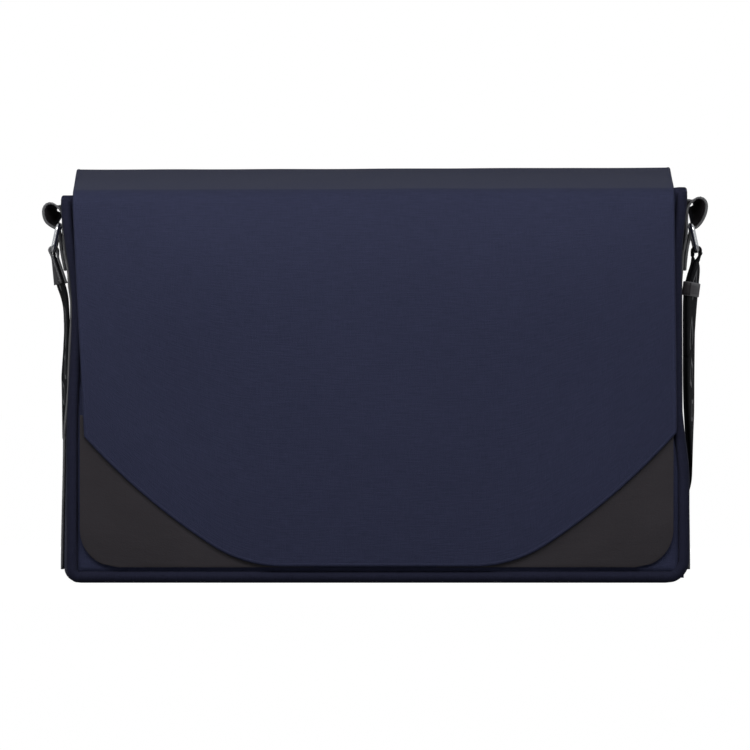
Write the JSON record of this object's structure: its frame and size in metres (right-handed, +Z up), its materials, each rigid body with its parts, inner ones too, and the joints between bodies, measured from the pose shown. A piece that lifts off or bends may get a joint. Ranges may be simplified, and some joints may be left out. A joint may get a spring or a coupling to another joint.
{
  "type": "diaper bag",
  "caption": "Messenger-style diaper bag with a full front flap, leather corner patches, side rings, a shoulder strap, inside pockets and a folded changing mat.",
  "frame": {"origin": "centre of the flat bottom face that the bag rests on", "axes": "+X to the right along the bag's length as seen from the front, +Y to the back, +Z up"},
  "size_m": [0.4204, 0.2123, 0.2651],
  "materials": {
    "nylon": "plain-woven navy nylon",
    "foam": "padding and stiffening sheet",
    "board": "base board",
    "lining": "light woven lining",
    "leather": "smooth black leather",
    "magnet": "plated magnetic snap disc",
    "metal": "polished",
    "webbing": "black woven webbing",
    "elastic": "elastic binding",
    "tape": "zip tape",
    "zip": "zip teeth",
    "zip_metal": "plated zip slider",
    "mat": "padded wipe-clean mat"
  },
  "bodies": {
    "bag": {"front_panel": "nylon", "back_panel": "nylon", "front_border": "nylon", "back_border": "nylon", "bottom_gusset": "nylon", "side_gusset_left": "nylon", "side_gusset_right": "nylon", "front_foam": "foam", "back_foam": "foam", "base_board": "board", "lining": "lining", "mouth_facing": "nylon", "corner_patch_left": "leather", "corner_patch_right": "leather", "flap_anchor": "nylon", "body_magnets": "magnet", "side_strap_left": "leather", "side_strap_right": "leather", "strap_webbing": "webbing", "strap_return": "webbing", "bottle_pocket_left": "lining", "bottle_pocket_right": "lining", "pocket_elastic_left": "elastic", "pocket_elastic_right": "elastic", "slip_pocket": "lining", "zip_pocket_panel": "lining", "zip_tapes": "tape", "zip_teeth": "zip", "changing_mat": "mat"},
    "flap_top": {"flap_top_outer": "nylon", "flap_top_stiffener": "foam", "flap_top_lining": "lining"},
    "flap_front": {"flap_front_outer": "nylon", "flap_front_stiffener": "foam", "flap_front_lining": "lining", "flap_magnets": "magnet"},
    "ring_left": {"ring_left": "metal"},
    "ring_right": {"ring_right": "metal"},
    "strap_end_left": {"strap_tab_left": "leather", "strap_webbing_left": "webbing"},
    "strap_end_right": {"strap_fold_right": "webbing", "strap_keeper_right": "leather"},
    "strap_slider": {"strap_slider": "metal", "strap_end_loop": "webbing"},
    "zip_slider": {"zip_slider": "zip_metal"},
    "zip_pull": {"zip_pull": "zip_metal"}
  },
  "joints": [
    {"name": "flap_top_hinge", "type": "hinge", "parent": "bag", "child": "flap_top", "pos_m": [0, 0.06345, 0.26308], "axis": [-1, 0, 0], "range_deg": [0, 110]},
    {"name": "flap_front_hinge", "type": "hinge", "parent": "flap_top", "child": "flap_front", "pos_m": [0, -0.0663, 0.24843], "axis": [-1, 0, 0], "range_deg": [0, 150]},
    {"name": "ring_left_swing", "type": "hinge", "parent": "bag", "child": "ring_left", "pos_m": [-0.2032, 0, 0.2293], "axis": [0, 1, 0], "range_deg": [0, 60], "deforming": ["strap_webbing"]},
    {"name": "ring_right_swing", "type": "hinge", "parent": "bag", "child": "ring_right", "pos_m": [0.2032, 0, 0.2293], "axis": [0, -1, 0], "range_deg": [0, 60], "deforming": ["strap_webbing", "strap_return"]},
    {"name": "strap_end_left_swing", "type": "hinge", "parent": "ring_left", "child": "strap_end_left", "pos_m": [-0.20674, 0, 0.21267], "axis": [0, 1, 0], "range_deg": [0, 45]},
    {"name": "strap_end_right_swing", "type": "hinge", "parent": "ring_right", "child": "strap_end_right", "pos_m": [0.20674, 0, 0.21267], "axis": [0, -1, 0], "range_deg": [0, 45]},
    {"name": "strap_slider_slide", "type": "slide", "parent": "bag", "child": "strap_slider", "axis": [1, 0, 0], "range_m": [-0.02, 0.02]},
    {"name": "zip_slider_slide", "type": "slide", "parent": "bag", "child": "zip_slider", "axis": [1, 0, 0], "range_m": [0, 0.165]},
    {"name": "zip_pull_swing", "type": "hinge", "parent": "zip_slider", "child": "zip_pull", "pos_m": [-0.0845, 0.04854, 0.206], "axis": [-1, 0, 0], "range_deg": [0, 120]}
  ]
}
